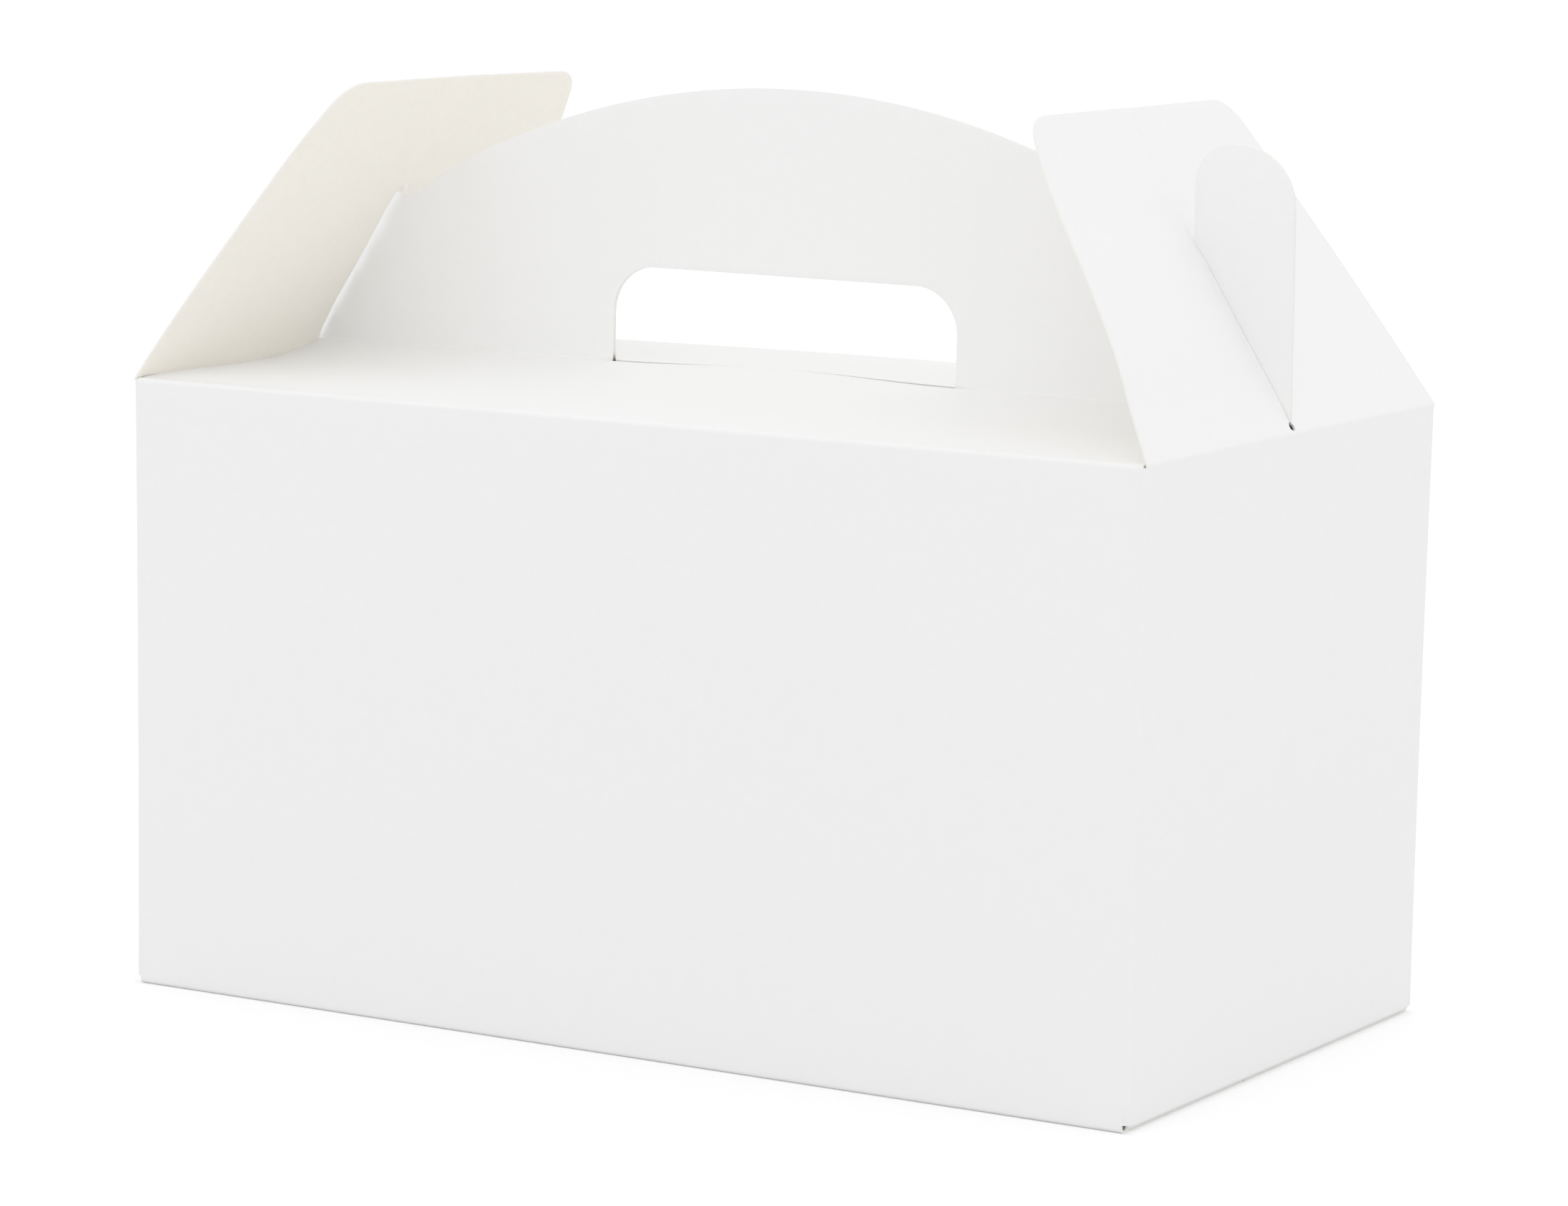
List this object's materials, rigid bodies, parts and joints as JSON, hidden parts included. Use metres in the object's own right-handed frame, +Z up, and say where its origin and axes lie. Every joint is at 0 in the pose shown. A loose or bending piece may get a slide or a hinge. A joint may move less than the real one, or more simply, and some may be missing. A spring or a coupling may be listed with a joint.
{
  "type": "gable box",
  "caption": "Closed white paperboard gable box with an arched two-layer carrying handle, a hand hole and two side wings that lock over the handle's ears.",
  "frame": {"origin": "middle of the bottom, on the surface that the box stands on", "axes": "+X along the length of the box and its handle, +Y across it, +Z up"},
  "size_m": [0.2286, 0.127, 0.1857],
  "materials": {
    "white_board": "matte"
  },
  "bodies": {
    "box": {"box_body": "white_board"},
    "wing_left": {"wing_left": "white_board"},
    "wing_right": {"wing_right": "white_board"}
  },
  "joints": [
    {"name": "wing_left_fold", "type": "hinge", "parent": "box", "child": "wing_left", "pos_m": [-0.11405, 0, 0.125], "axis": [0, -1, 0], "range_deg": [0, 120], "deforming": ["wing_left"]},
    {"name": "wing_right_fold", "type": "hinge", "parent": "box", "child": "wing_right", "pos_m": [0.11405, 0, 0.125], "axis": [0, 1, 0], "range_deg": [0, 120], "deforming": ["wing_right"]}
  ]
}
